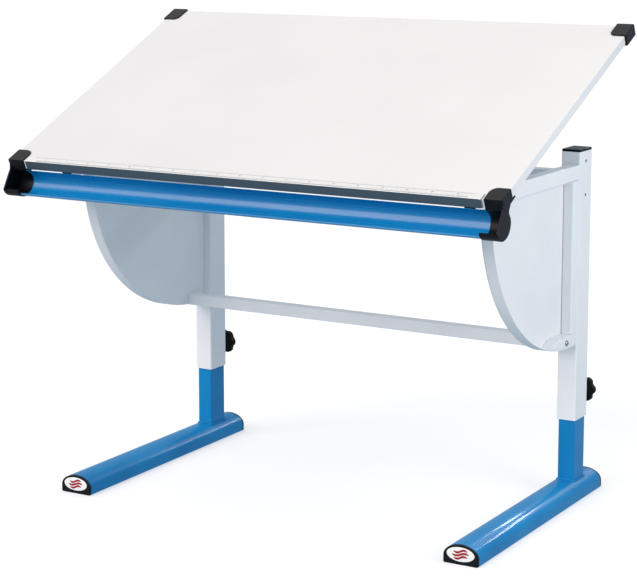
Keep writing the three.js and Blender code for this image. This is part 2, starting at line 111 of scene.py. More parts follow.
def makeLights():
    for name, lamp in lights.items():
        sun = hangLamp(name, lamp, "SUN", (0, 0, 3), -np.array(lamp["from"]))  # a sun's place has no effect
        sun.angle, sun.energy = np.radians(lamp["angle"]), lamp["strength"]
    for name, lamp in softboxes.items():
        area = hangLamp(name, lamp, "AREA", lamp["at"], np.array(lamp["to"]) - np.array(lamp["at"]))
        area.shape, area.energy = "RECTANGLE", lamp["watts"]
        area.size, area.size_y = lamp["size"]


def makeSurround():
    # a pale sky for light and reflections, and plain white where the camera looks past the floor
    world = bpy.data.worlds.new("studio")
    scene.world = world
    world.use_nodes = True
    tree = world.node_tree
    tree.nodes.clear()
    soft = addNode(tree, "ShaderNodeBackground",
                   {"Color": srgb(surround["light"]), "Strength": surround["strength"]})
    plain = addNode(tree, "ShaderNodeBackground",
                    {"Color": srgb(surround["backdrop"]), "Strength": surround["backdropStrength"]})
    path = addNode(tree, "ShaderNodeLightPath")
    mix = addNode(tree, "ShaderNodeMixShader", {},
                  {0: path.outputs["Is Camera Ray"], 1: soft.outputs[0], 2: plain.outputs[0]})
    addNode(tree, "ShaderNodeOutputWorld", {}, {"Surface": mix.outputs[0]})


def startMaterial(name, colour, roughness, **sockets):
    # a Principled surface, and its tree, shader and Object coordinates for the pattern
    made = bpy.data.materials.new(name)
    made.use_nodes = True
    made.diffuse_color = srgb(colour)
    tree = made.node_tree
    shader = tree.nodes["Principled BSDF"]
    shader.inputs["Base Color"].default_value = srgb(colour)
    shader.inputs["Roughness"].default_value = roughness
    for socket, value in sockets.items():
        shader.inputs[socket].default_value = value
    place = addNode(tree, "ShaderNodeTexCoord").outputs["Object"]
    return made, tree, shader, place


def addGrain(tree, shader, place, size, height, strength, stretch=(1, 1, 1), roughness=None, detail=3):
    # bumps of one real size in mm; a stretch below 1 draws them out along that axis, and the roughness goes
    # from low to high with them
    turned = addNode(tree, "ShaderNodeMapping", {"Scale": stretch}, {"Vector": place})
    grain = addNode(tree, "ShaderNodeTexNoise",
                    {"Scale": 1 / (size * mm), "Detail": detail, "Roughness": 0.55},
                    {"Vector": turned.outputs[0]})
    bump = addNode(tree, "ShaderNodeBump", {"Strength": strength, "Distance": height * mm},
                   {"Height": grain.outputs["Fac"]})
    tree.links.new(bump.outputs[0], shader.inputs["Normal"])
    if roughness:
        spread = addNode(tree, "ShaderNodeMapRange",
                         {"From Min": 0.3, "From Max": 0.7, "To Min": roughness[0], "To Max": roughness[1]},
                         {"Value": grain.outputs["Fac"]})
        tree.links.new(spread.outputs[0], shader.inputs["Roughness"])


def addTint(tree, shader, place, low, high, size, stretch=(1, 1, 1)):
    # colour that drifts slowly between two tones over patches of that size in mm
    turned = addNode(tree, "ShaderNodeMapping", {"Scale": stretch}, {"Vector": place})
    drift = addNode(tree, "ShaderNodeTexNoise", {"Scale": 1 / (size * mm), "Detail": 2},
                    {"Vector": turned.outputs[0]})
    ramp = addNode(tree, "ShaderNodeValToRGB", {}, {"Fac": drift.outputs["Fac"]})
    for stop, position, colour in zip(ramp.color_ramp.elements, (0.35, 0.65), (low, high)):
        stop.position, stop.color = position, srgb(colour)
    tree.links.new(ramp.outputs["Color"], shader.inputs["Base Color"])


def powderCoat(name, low, high, roughness, coat):
    # powder sprayed on steel and baked: a satin skin with orange peel, drawn at 2.5 mm so that it shows
    made, tree, shader, place = startMaterial(name, high, roughness, IOR=1.5)
    shader.inputs["Coat Weight"].default_value = coat
    shader.inputs["Coat Roughness"].default_value = 0.06
    shader.inputs["Specular IOR Level"].default_value = 0.16
    addGrain(tree, shader, place, 2.5, 0.05, 0.25, roughness=(roughness - 0.05, roughness + 0.05))
    addTint(tree, shader, place, low, high, 140)
    return made


def mouldedPlastic(name, low, high, roughness, size, strength):
    # polypropylene, nylon or rubber from a spark-eroded mould: an even fine grain that breaks up the shine
    made, tree, shader, place = startMaterial(name, high, roughness, IOR=1.49)
    shader.inputs["Specular IOR Level"].default_value = 0.2
    addGrain(tree, shader, place, size, 0.08, strength, roughness=(roughness - 0.06, roughness + 0.08))
    addTint(tree, shader, place, low, high, 18)
    return made


def extrudedPlastic():
    # polystyrene drawn through a die: glossy, with faint die lines 1.5 mm apart along its length
    made, tree, shader, place = startMaterial("blue_extruded_polystyrene", "0080bc", 0.22, IOR=1.59)
    addGrain(tree, shader, place, 1.5, 0.03, 0.15, stretch=(0.01, 1, 1), roughness=(0.18, 0.3), detail=1)
    addTint(tree, shader, place, "007ab8", "0484c2", 90, stretch=(0.15, 1, 1))
    return made


def melamine():
    # paper laminate pressed on chipboard: matt white with a pearl texture of about 1.2 mm
    made, tree, shader, place = startMaterial("white_melamine", "dbdbdb", 0.5, IOR=1.52)
    addGrain(tree, shader, place, 1.2, 0.04, 0.18, roughness=(0.46, 0.56))
    addTint(tree, shader, place, "d8d9da", "dbdcdd", 220)
    return made


def edgeBand():
    # ABS edging glued round the board: a little greyer and smoother than the face
    made, tree, shader, place = startMaterial("white_abs_edging", "dfe1e3", 0.42, IOR=1.52)
    addGrain(tree, shader, place, 0.9, 0.03, 0.15, roughness=(0.38, 0.46))
    return made


def anodised(name, colour, roughness):
    # aluminium brushed along X, then anodised: streaks 0.6 mm wide, drawn out sixty times as long
    made, tree, shader, place = startMaterial(name, colour, roughness, Metallic=1)
    spread = (roughness - 0.06, roughness + 0.1)
    addGrain(tree, shader, place, 0.6, 0.02, 0.2, stretch=(0.016, 1, 1), roughness=spread)
    return made


def zincPlate():
    # bright zinc on steel: bluish and yellowish patches a few millimetres across
    made, tree, shader, place = startMaterial("zinc_plated_steel", "a9afb5", 0.38, Metallic=1)
    addGrain(tree, shader, place, 1.5, 0.03, 0.2, roughness=(0.3, 0.5))
    addTint(tree, shader, place, "9fa8b2", "b9b7ac", 9)
    return made


def printed(name, colour, roughness):
    # ink or enamel laid on smooth: a fine orange peel of 0.8 mm
    made, tree, shader, place = startMaterial(name, colour, roughness, IOR=1.5)
    addGrain(tree, shader, place, 0.8, 0.01, 0.15, roughness=(roughness - 0.04, roughness + 0.04))
    return made


def unit(vectors):
    return vectors / np.maximum(np.linalg.norm(vectors, axis=-1, keepdims=True), 1e-12)


def rounded(corners, radii, steps=6):
    # each corner of a closed outline becomes an arc of radius r that starts r / tan(half) from the corner,
    # about a centre r / sin(half) along its bisector, where half is half the corner's angle; radius 0 keeps
    # the point
    corners = np.asarray(corners, float)
    radii = np.broadcast_to(np.asarray(radii, float), len(corners))
    before = unit(np.roll(corners, 1, 0) - corners)
    after = unit(np.roll(corners, -1, 0) - corners)
    half = np.arccos(np.clip((before * after).sum(1), -1, 1)) / 2
    r = np.maximum(radii, 1e-9)
    reach = (r / np.tan(half))[:, None]
    centre = corners + unit(before + after) * (r / np.sin(half))[:, None]
    start, end = corners + before * reach, corners + after * reach
    turn = np.maximum(np.pi - 2 * half, 1e-6)[:, None, None]
    w = np.linspace(0, 1, steps + 1)[None, :, None]
    arc = (np.sin((1 - w) * turn) * (start - centre)[:, None] + np.sin(w * turn) * (end - centre)[:, None])
    arc = centre[:, None] + arc / np.sin(turn)
    rows = np.concatenate([(start + before * hair)[:, None], arc, (end + after * hair)[:, None]], 1)
    keep = np.broadcast_to((radii > 0)[:, None], rows.shape[:2]).copy()
    rows[radii == 0, 0] = corners[radii == 0]
    keep[:, 0] = True
    return rows[keep]


def rectangle(centre, size, radius, steps=6):
    # corners at centre + size / 2 with each sign, rounded
    signs = np.array([(-1, -1), (1, -1), (1, 1), (-1, 1)])
    return rounded(np.array(centre) + signs * np.array(size) / 2, radius, steps)


def arc(centre, radii, start, end, count):
    # points at centre + radii * (cos a, sin a), for angles in degrees
    a = np.radians(np.linspace(start, end, count))
    return np.array(centre) + np.stack([np.cos(a), np.sin(a)], 1) * np.array(radii)


def insetLoops(loop, amounts):
    # every point moves inwards along its mitre, (n1 + n2) / (1 + n1 . n2), by each amount
    area = (loop[:, 0] * np.roll(loop[:, 1], -1) - np.roll(loop[:, 0], -1) * loop[:, 1]).sum()
    loop = loop if area > 0 else loop[::-1]
    along = unit(np.roll(loop, -1, 0) - loop)
    normal = np.stack([-along[:, 1], along[:, 0]], 1)
    last = np.roll(normal, 1, 0)
    mitre = (normal + last) / np.maximum(1 + (normal * last).sum(1, keepdims=True), 0.2)
    return loop[None] + np.asarray(amounts)[:, None, None] * mitre[None]


def stack(loops, depths, axis):
    # sections drawn across an axis, each set at its own depth along it
    first, second, along = {"x": (1, 2, 0), "y": (0, 2, 1), "z": (0, 1, 2)}[axis]
    points = np.empty((*loops.shape[:2], 3))
    points[..., first], points[..., second] = loops[..., 0], loops[..., 1]
    points[..., along] = np.broadcast_to(np.asarray(depths, float).reshape(len(loops), -1), loops.shape[:2])
    return points


def skin(points, ends=True, wrap=False):
    # quads between neighbouring rings of a (ring, point) grid, with a face at each end, or the last ring
    # joined to the first
    rings, count = points.shape[:2]
    row = np.arange(rings if wrap else rings - 1)[:, None]
    column = np.arange(count)[None]
    nextRow, nextColumn = (row + 1) % rings, (column + 1) % count
    quads = np.stack([row * count + column, row * count + nextColumn,
                      nextRow * count + nextColumn, nextRow * count + column], -1)
    faces = quads.reshape(-1, 4).tolist()
    if ends and not wrap:
        faces += [list(range(count))[::-1], list(range((rings - 1) * count, rings * count))]
    return points.reshape(-1, 3), faces


def edgeProfile(low, high, edge, steps):
    # a quarter round at each end: inset = edge (1 - sin t), depth = edge (1 - cos t)
    t = np.linspace(0, np.pi / 2, steps + 1)
    inset = np.r_[edge + hair, edge * (1 - np.sin(t)), 0]
    depth = np.r_[0, edge * (1 - np.cos(t)), edge + hair]
    return np.r_[inset, inset[::-1]], np.r_[low + depth, high - depth[::-1]]


def prism(loop, axis, low, high, edge=1.0, steps=3):
    # a section carried along an axis, its end edges rounded
    inset, depth = edgeProfile(min(low, high), max(low, high), edge, steps)
    return skin(stack(insetLoops(loop, inset), depth, axis))


def tube(loop, axis, low, high, wall, edge=0.4, steps=2):
    # the same with a bore one wall inside the section, so both ends show the wall's thickness
    inset, depth = edgeProfile(low, high, edge, steps)
    inset, depth = inset[1:-1], depth[1:-1]
    loops = insetLoops(loop, np.r_[inset, wall - inset[::-1]])
    return skin(stack(loops, np.r_[depth, depth[::-1]], axis), wrap=True)


def turned(profile, axis, centre, count=48, shape=None):
    # a turned shape: radius(s) swept through a circle, or times shape(s, angle) where that isn't round
    profile = np.asarray(profile, float)
    angle = np.linspace(0, 2 * np.pi, count, endpoint=False)
    radius = profile[:, :1] * (np.ones((1, count)) if shape is None else shape(profile, angle[None]))
    loops = np.stack([radius * np.cos(angle), radius * np.sin(angle)], -1) + np.array(centre)
    return skin(stack(loops, profile[:, 1], axis), ends=False)


def beadPath(path, radii, count=14):
    # a round bead along a closed path: point + r (cos a side + sin a up), side across the path
    along = unit(np.roll(path, -1, 0) - np.roll(path, 1, 0))
    side = unit(np.cross(along, [0, 0, 1.0]))
    up = np.cross(side, along)
    a = np.linspace(0, 2 * np.pi, count, endpoint=False)[None, :, None]
    ring = path[:, None] + radii[:, None, None] * (np.cos(a) * side[:, None] + np.sin(a) * up[:, None])
    return skin(ring, wrap=True)


def blocks(centres, size):
    # one small block at each centre
    corner = np.array([(x, y, z) for z in (-1, 1) for y in (-1, 1) for x in (-1, 1)]) / 2
    points = centres[:, None] + corner[None] * np.asarray(size, float).reshape(-1, 1, 3)
    quads = np.array([(0, 2, 3, 1), (4, 5, 7, 6), (0, 1, 5, 4), (2, 6, 7, 3), (0, 4, 6, 2), (1, 3, 7, 5)])
    faces = quads[None] + 8 * np.arange(len(centres))[:, None, None]
    return points.reshape(-1, 3), faces.reshape(-1, 4).tolist()


board = {"angle": 24.5, "edge": (-314.5, 685.5), "half": 537, "thick": 18, "front": 2.5, "back": 647}


def fromBoard(points):
    # (x, u, v) on the tilted board to the desk's own axes
    a = np.radians(board["angle"])
    x, u, v = points[:, 0], points[:, 1], points[:, 2]
    y0, z0 = board["edge"]
    return np.stack([x, y0 + u * np.cos(a) - v * np.sin(a), z0 + u * np.sin(a) + v * np.cos(a)], 1)


def makePiece(name, shells, material, body, replaced=(), place=None, smooth=32):
    # one object out of closed shells, in metres, its doubles merged, its faces turned outwards
    points, faces, start = [], [], 0
    for shellPoints, shellFaces in shells:
        points.append(shellPoints)
        faces += [[i + start for i in face] for face in shellFaces]
        start += len(shellPoints)
    points = np.concatenate(points)
    points = (points if place is None else place(points)) * mm
    mesh = bpy.data.meshes.new(name)
    mesh.from_pydata(points, [], faces)
    return finishPiece(name, mesh, material, body, replaced, smooth)


def closeMesh(mesh):
    # poles and seams merged, faces turned outwards
    work = bmesh.new()
    work.from_mesh(mesh)
    bmesh.ops.remove_doubles(work, verts=work.verts, dist=1e-6)
    bmesh.ops.recalc_face_normals(work, faces=work.faces)
    work.to_mesh(mesh)
    work.free()


def finishPiece(name, mesh, material, body, replaced=(), smooth=32):
    # an object for a mesh: sharp edges above an angle, its materials, its body and replaced nodes
    closeMesh(mesh)
    mesh.polygons.foreach_set("use_smooth", np.ones(len(mesh.polygons), bool))
    mesh.set_sharp_from_angle(angle=np.radians(smooth))
    for each in material if isinstance(material, (list, tuple)) else [material]:
        mesh.materials.append(each)
    made = bpy.data.objects.new(name, mesh)
    scene.collection.objects.link(made)
    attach(made, body)
    if replaced:
        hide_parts(*replaced)
    return made


def meshOf(holder):
    # the mesh that an object shows, with its modifiers or its text worked out
    bpy.context.view_layer.update()
    return bpy.data.meshes.new_from_object(holder.evaluated_get(bpy.context.evaluated_depsgraph_get()))


def box(node):
    # a CAD node's lowest and highest corner in mm
    low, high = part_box(node)
    return np.array(low) / mm, np.array(high) / mm


print("camera, floor and light")
scene.view_settings.view_transform = "Standard"
makeCamera()
makeLights()
makeSurround()

white = powderCoat("white_powder_coat", "e9ebee", "eef0f2", 0.42, 0.05)
blue = powderCoat("blue_powder_coat", "0078b6", "0484c2", 0.32, 0.22)
black = mouldedPlastic("black_polypropylene", "070a0f", "0b1016", 0.4, 0.9, 0.35)
blackKnob = mouldedPlastic("black_nylon_grip", "040405", "070708", 0.5, 1.3, 0.6)
trayBlue = extrudedPlastic()
faceWhite = melamine()
bandWhite = edgeBand()
rulerFace = anodised("brushed_anodised_aluminium", "e9ebed", 0.45)
# a darker copy of the same aluminium for the ruler's faces turned front and down: painted shade
rulerShadedFront = anodised("aluminium_front_painted_shade", "69777f", 0.5)
zinc = zincPlate()
nylon = mouldedPlastic("natural_nylon", "d2d2cb", "dadad4", 0.6, 1.5, 0.2)
rubber = mouldedPlastic("black_rubber", "191919", "1f1f20", 0.85, 1.2, 0.4)
enamel = printed("white_enamel", "f3f3f1", 0.3)
redEnamel = printed("red_enamel", "9c121c", 0.32)
ink = printed("grey_print", "4c545c", 0.6)


def makeFloor():
    h = floorPlan["half"]
    mesh = bpy.data.meshes.new("floor")
    mesh.from_pydata([(-h, -h, 0), (h, -h, 0), (h, h, 0), (-h, h, 0)], [], [(0, 1, 2, 3)])
    made, tree, shader, place = startMaterial("pale_floor", floorPlan["colour"], floorPlan["roughness"])
    addGrain(tree, shader, place, 40, 0.2, 0.05)
    shader.inputs["Emission Color"].default_value = srgb(floorPlan["glow"])
    shader.inputs["Emission Strength"].default_value = floorPlan["glowStrength"]
    mesh.materials.append(made)
    ground = bpy.data.objects.new("floor", mesh)
    ground.visible_diffuse = False  # the sky below stands for the light that the floor throws back
    ground.visible_glossy = False
    scene.collection.objects.link(ground)


makeFloor()


foot = {"half": 35.5, "side": 15, "height": 38, "corner": 3, "tubeEdge": 0.5, "capEdge": 1.1}


def footSection(x):
    # flat below, straight sides, and half an ellipse over them
    h, side = foot["half"], foot["side"]
    crown = arc((0, side), (h, foot["height"] - side), 0, 180, 49)
    corners = np.vstack([[(-h, 0), (h, 0)], crown])
    return rounded(corners, np.r_[foot["corner"], foot["corner"], np.zeros(len(crown))], 4) + np.array([x, 0])


def makeFoot(name):
    low, high = box(f"{name}_foot")
    x = (low[0] + high[0]) / 2
    section = footSection(x)
    makePiece(f"{name}_foot_tube", [prism(section, "y", low[1], high[1], foot["tubeEdge"])], blue,
              "base", [f"{name}_foot"])
    front, back = box(f"{name}_foot_front_cap")[0][1], box(f"{name}_foot_back_cap")[1][1]
    for end, near, far in (("front", front, low[1] - gap), ("back", high[1] + gap, back)):
        makePiece(f"{name}_foot_{end}_end_cap", [prism(section, "y", near, far, foot["capEdge"], 4)], black,
                  "base", [f"{name}_foot_{end}_cap"])
    makeBadge(name, x, front)


badge = {"width": 56, "height": 27, "z": 20, "edge": 0.35, "dome": 0.5, "sunk": 0.2, "rows": 3, "reach": 17,
         "shorter": 3.2, "stroke": 4.3, "between": 1.6, "wave": 2.2, "slope": 0.8, "raise": 0.22,
         "under": 0.3}


def makeBadge(name, x, front):
    # a domed oval: at a share r of the way out it stands edge + dome * sqrt(1 - r * r) before the cap
    w, h, z = badge["width"] / 2, badge["height"] / 2, badge["z"]

    def dome(r):
        return front - badge["edge"] - badge["dome"] * np.sqrt(np.maximum(1 - r**2, 0))

    out = np.cos(np.linspace(0, 1, 9) * np.pi / 2)[::-1][1:]
    share = np.r_[0, out, 1]
    loops = share[:, None, None] * arc((0, 0), (w, h), 0, 355, 72)[None] + np.array([x, z])
    depth = np.r_[dome(0.0), dome(out), front + badge["sunk"]]
    makePiece(f"{name}_badge_plate", [skin(stack(loops, depth, "y"))], enamel, "base",
              [f"{name}_foot_badge"])
    # rising waves: each ribbon's middle follows wave * sin(pi s) + slope * s, and its width falls as
    # sqrt(1 - s ** 4) to its ends
    s = np.linspace(-1, 1, 33)
    ribbons = []
    for row in range(badge["rows"]):
        step = row - (badge["rows"] - 1) / 2
        reach = badge["reach"] - badge["shorter"] * abs(step)
        middle = z + step * (badge["stroke"] + badge["between"])
        middle = middle + badge["wave"] * np.sin(np.pi * s) + badge["slope"] * s
        half = badge["stroke"] / 2 * np.sqrt(np.maximum(1 - s**4, 0.02))
        across = x + reach * np.r_[s, s[::-1]]
        up = np.r_[middle - half, (middle + half)[::-1]]
        face = dome(np.hypot((across - x) / w, (up - z) / h))
        ribbons.append(skin(np.stack([np.stack([across, face + badge["under"], up], 1),
                                      np.stack([across, face - badge["raise"], up], 1)])))
    makePiece(f"{name}_badge_waves", ribbons, redEnamel, "base")


leg = {"width": 35, "depth": 55, "radius": 4, "hidden": 20, "wall": 2}
weld = {"off": 0.5, "lift": 0.4, "radius": 2.6, "ripple": 0.45, "pitch": 4.2, "drift": 0.2, "slow": 7,
        "steps": 6}


def makeLeg(name):
    low, high = box(f"{name}_leg")
    x, y = (low[0] + high[0]) / 2, (low[1] + high[1]) / 2
    width, depth, radius = leg["width"], leg["depth"], leg["radius"]
    loop = rectangle((x, y), (width, depth), radius)
    makePiece(f"{name}_leg_tube", [tube(loop, "z", leg["hidden"], high[2], leg["wall"])], blue,
              "base", [f"{name}_leg"])
    # the weld runs round the leg over the foot's arch, side + rise * sqrt(1 - (x / half) ** 2), and its
    # radius is radius + ripple * sin(2 pi s / pitch) + drift * sin(s / slow) at a length s along it
    off = weld["off"]
    outline = rectangle((x, y), (width + 2 * off, depth + 2 * off), radius + off, 8)
    reach = np.r_[0, np.cumsum(np.linalg.norm(np.roll(outline, -1, 0) - outline, axis=1))]
    at = np.arange(0, reach[-1], weld["pitch"] / weld["steps"])
    closed = np.vstack([outline, outline[:1]])
    path = np.stack([np.interp(at, reach, closed[:, 0]), np.interp(at, reach, closed[:, 1])], 1)
    rise = (foot["height"] - foot["side"]) * np.sqrt(1 - ((path[:, 0] - x) / foot["half"]) ** 2)
    path = np.column_stack([path, foot["side"] + rise + weld["lift"]])
    ripple = weld["ripple"] * np.sin(2 * np.pi * at / weld["pitch"])
    ripple = ripple + weld["drift"] * np.sin(at / weld["slow"])
    makePiece(f"{name}_weld", [beadPath(path, weld["radius"] + ripple)], blue, "base",
              smooth=60)


post = {"width": 40, "depth": 60, "radius": 3, "wall": 1.5, "holes": (618, 686), "hole": 3.6,
        "drill": 5, "edge": 0.5, "capEdge": 1.2}


def makePost(name, side):
    low, high = box(f"{name}_post")
    x, y = (low[0] + high[0]) / 2, (low[1] + high[1]) / 2
    loop = rectangle((x, y), (post["width"], post["depth"]), post["radius"])
    walls = tube(loop, "z", low[2], high[2], post["wall"], post["edge"], 3)
    made = makePiece(f"{name}_post_tube", [walls], white, "frame", [f"{name}_post"])
    face, reach, hole = x + side * post["width"] / 2, side * post["drill"], post["hole"]
    rod = [(0, face - reach), (hole, face - reach), (hole, face + reach), (0, face + reach)]
    drill(made, [turned(rod, "x", (y, z), 32) for z in post["holes"]])
    top = box(f"{name}_post_cap")[1][2]
    makePiece(f"{name}_post_top", [prism(loop, "z", high[2] + gap, top, post["capEdge"], 4)], black,
              "frame", [f"{name}_post_cap"])


def drill(made, rods):
    # takes closed shells away from a piece and keeps the result as its mesh
    for points, faces in rods:
        mesh = bpy.data.meshes.new("rod")
        mesh.from_pydata(points * mm, [], faces)
        closeMesh(mesh)
        rod = bpy.data.objects.new("rod", mesh)
        scene.collection.objects.link(rod)
        cut = made.modifiers.new("hole", "BOOLEAN")
        cut.object, cut.operation, cut.solver = rod, "DIFFERENCE", "EXACT"
        result = meshOf(made)
        made.modifiers.clear()
        made.data = result
        bpy.data.objects.remove(rod)
    made.data.polygons.foreach_set("use_smooth", np.ones(len(made.data.polygons), bool))
    made.data.set_sharp_from_angle(angle=np.radians(32))


frameTube = {"radius": 3, "edge": 0.4, "plugEdge": 1.3}
rim = {"y": 192.5, "z": 651.5, "long": 373, "tall": 332, "thick": 3, "edge": 0.9, "tip": 0.3, "points": 72}
lug = {"front": 98, "slant": 26, "gap": 0.3, "edge": 0.8}
sidePanel = {"edge": 0.35}


def makeBar(name, low, high, axis, body, slotName, replaced):
    # a square tube between two corners, its long edges rounded
    across = {"x": [1, 2], "y": [0, 2], "z": [0, 1]}[axis]
    along = "xyz".index(axis)
    loop = rectangle((low + high)[across] / 2, (high - low)[across], frameTube["radius"])
    makePiece(name, [prism(loop, axis, low[along], high[along], frameTube["edge"])], white, body,
              replaced)
    return loop


def rimCurve(inset, count):
    # a quarter of an ellipse, from the bar's front down and back to the stile's foot
    return arc((rim["y"], rim["z"]), (rim["long"] - inset, rim["tall"] - inset), 180, 270, count)


def makeSideFrame(name):
    slotName = "white_powder_coat"
    low, high = box(f"{name}_top_bar")
    loop = makeBar(f"{name}_bar_tube", low, high, "y", "frame", slotName, [f"{name}_top_bar"])
    plugFront = box(f"{name}_bar_plug")[0][1]
    makePiece(f"{name}_bar_end", [prism(loop, "y", plugFront, low[1] - gap, frameTube["plugEdge"], 4)], black,
              "frame", [f"{name}_bar_plug"])
    makeBar(f"{name}_stile_tube", *box(f"{name}_stile"), "z", "frame", slotName, [f"{name}_stile"])

    low, high = box(f"{name}_rim")
    floor, end, count, thick = rim["z"] - rim["tall"], high[1], rim["points"], rim["thick"]
    outer, inner = rimCurve(0, count), rimCurve(thick, count)[::-1]
    outer[0, 1] -= rim["tip"]
    strip = np.vstack([outer, [(end, floor), (end, floor + thick)], inner])
    makePiece(f"{name}_rim_strip", [prism(strip, "x", low[0], high[0], rim["edge"])], white, "frame",
              [f"{name}_rim"])

    low, high = box(f"{name}_lug")
    seat = rimCurve(thick + lug["gap"], 2 * count)
    seat = seat[seat[:, 0] > lug["front"]]
    corners = np.vstack([seat, [(end, floor + thick + lug["gap"]), (end, high[2]),
                                (lug["front"] + lug["slant"], high[2])]])
    makePiece(f"{name}_lug_block", [prism(corners, "x", low[0], high[0], lug["edge"])], white, "frame",
              [f"{name}_lug"])

    low, high = box(f"{name}_side_sheet")
    panel = np.vstack([rimCurve(0, count), [(end, floor), (end, high[2]), (rim["y"] - rim["long"], high[2])]])
    makePiece(f"{name}_side_panel", [prism(panel, "x", low[0], high[0], sidePanel["edge"], 2)], white,
              "frame", [f"{name}_side_sheet"])


stretcher = {"radius": 2.5, "edge": 0.4}
rail = {"z": 635, "depth": 30, "height": 60, "radius": 3, "edge": 0.4, "plate": 3, "lap": 0.5,
        "plateRadius": 4, "plateEdge": 0.5}


def makeCrossMembers():
    low, high = box("stretcher")
    loop = rectangle((low + high)[1:] / 2, (high - low)[1:], stretcher["radius"])
    makePiece("stretcher_tube", [prism(loop, "x", low[0], high[0], stretcher["edge"])], white, "frame",
              ["stretcher"])
    # the rear rail is a tube between two plates that are welded over its ends
    low, high = box("rear_rail")
    thick, lap = rail["plate"], rail["lap"]
    section = rectangle(((low[1] + high[1]) / 2, rail["z"]), (rail["depth"], rail["height"]), rail["radius"])
    plate = rectangle((low + high)[1:] / 2, (high - low)[1:], rail["plateRadius"])
    shells = [prism(section, "x", low[0] + thick, high[0] - thick, rail["edge"]),
              prism(plate, "x", low[0], low[0] + thick + lap, rail["plateEdge"]),
              prism(plate, "x", high[0] - thick - lap, high[0], rail["plateEdge"])]
    makePiece("rear_rail_tube", shells, white, "frame", ["rear_rail"])


stretcherBolt = {"face": 456.3, "radius": 5.8, "height": 3.6, "socket": 2.3, "floor": 0.35, "dome": 1.1}
pivotBolt = {"face": 456.3, "top": 461, "corner": 8, "edge": 0.9, "tip": 423.2, "point": 0.8, "end": 457,
             "radius": 5}


def boltHead(axis, centre, side):
    # a button head: r = radius cos t, height sin t, then a hexagonal socket sunk into it
    radius, height, socket = stretcherBolt["radius"], stretcherBolt["height"], stretcherBolt["socket"]
    t = np.linspace(0, stretcherBolt["dome"], 8)
    dome = np.stack([radius * np.cos(t), height * np.sin(t) / np.sin(t[-1])], 1)
    floor = height * stretcherBolt["floor"]
    profile = np.vstack([[(0, 0)], dome, [(socket, height), (socket, floor), (0, floor)]])
    profile[:, 1] = stretcherBolt["face"] * side + side * profile[:, 1]
    sunk = 3  # the profile's last points, which are the socket's

    def shape(p, angle):
        hexagon = np.cos(np.pi / 6) / np.cos((angle + np.pi / 6) % (np.pi / 3) - np.pi / 6)
        inside = (np.arange(len(p)) >= len(p) - sunk)[:, None]
        return np.where(inside, hexagon * np.ones_like(p[:, :1]), 1.0)

    return turned(profile, axis, centre, 48, shape)


def makeBolts(name, side):
    low, high = box(f"{name}_stretcher_bolt")
    makePiece(f"{name}_stretcher_bolt_head", [boltHead("x", (low + high)[1:] / 2, side)], zinc, "frame",
              [f"{name}_stretcher_bolt"])
    low, high = box(f"{name}_pivot_bolt")
    centre, corner, radius = (low + high)[1:] / 2, pivotBolt["corner"], pivotBolt["radius"]
    flats = rounded(arc(centre, (corner, corner), 0, 300, 6), 0.5, 3)
    head = prism(flats, "x", pivotBolt["face"] * side, pivotBolt["top"] * side, pivotBolt["edge"], 4)
    tip, end = pivotBolt["tip"], pivotBolt["end"]
    point = radius - pivotBolt["point"]
    shank = np.array([(0, tip), (point, tip), (radius, tip + 1), (radius, end), (0, end)])
    makePiece(f"{name}_pivot_bolt_head", [head, turned(shank * np.array([1, side]), "x", centre)], zinc,
              "frame", [f"{name}_pivot_bolt"])


def starGrip(radius, core, lobes, dip, power):
    # a star's outline as a share of its radius: 1 - dip * reach * (0.5 - 0.5 cos(lobes a)) ** 2, where
    # reach rises from 0 at the core to 1 at the rim
    def shape(p, angle):
        reach = np.clip((p[:, :1] - core) / (radius - core), 0, 1) ** power
        return 1 - dip * reach * (0.5 - 0.5 * np.cos(lobes * angle)) ** 2

    return shape


knob = {"radius": 27.5, "hub": 13, "core": 10, "lobes": 7, "dip": 0.14, "start": 3, "under": 14, "end": 39,
        "brow": 3, "crown": 9, "square": 0.6, "dish": 4.5, "sunk": 1.2, "flare": 0.93, "throat": 5,
        "lip": 3.2, "belly": (14, 11.5)}


def makeHeightKnob(name):
    # a mushroom grip: the hub flares out under the grip as hub + (flare * radius - hub) * (1 - cos t), the
    # edge rolls over, and the crown closes as (radius - brow) * cos t ** square; its rim dips between lobes
    low, high = box(f"{name}_height_knob")
    centre = ((low[0] + high[0]) / 2, (low[2] + high[2]) / 2)
    radius, hub, under, end = knob["radius"], knob["hub"], knob["under"], knob["end"]
    brow, crown, dish, throat = knob["brow"], knob["crown"], knob["dish"], knob["throat"]
    floor = end - knob["sunk"]
    t = np.linspace(0, np.pi / 2, 9)
    profile = np.vstack([
        [(0, knob["start"]), (hub - 1, knob["start"]), (hub, knob["start"] + 1)],
        np.stack([hub + (radius * knob["flare"] - hub) * (1 - np.cos(t)),
                  under - throat + (throat + 1) * np.sin(t)], 1),
        np.stack([radius - brow + brow * np.sin(2 * t), under + throat - knob["lip"] * np.cos(2 * t)], 1),
        [(radius, end - below) for below in knob["belly"]],
        np.stack([(radius - brow) * np.cos(t) ** knob["square"], end - crown + crown * np.sin(t)], 1)[:-1],
        [(dish, end - 0.05), (dish - 0.3, floor), (0, floor)],
    ])
    profile[:, 1] += low[1] - knob["start"]
    shape = starGrip(radius, knob["core"], knob["lobes"], knob["dip"], 1.5)
    makePiece(f"{name}_star_knob", [turned(profile, "y", centre, 144, shape)], blackKnob, f"{name}_knob",
              [f"{name}_height_knob"], smooth=50)


clampKnob = {"y": -40, "radius": 19, "hub": 9, "lobes": 5, "dip": 0.22, "start": 1, "under": 4, "round": 3,
             "grip": 15, "end": 23.7}


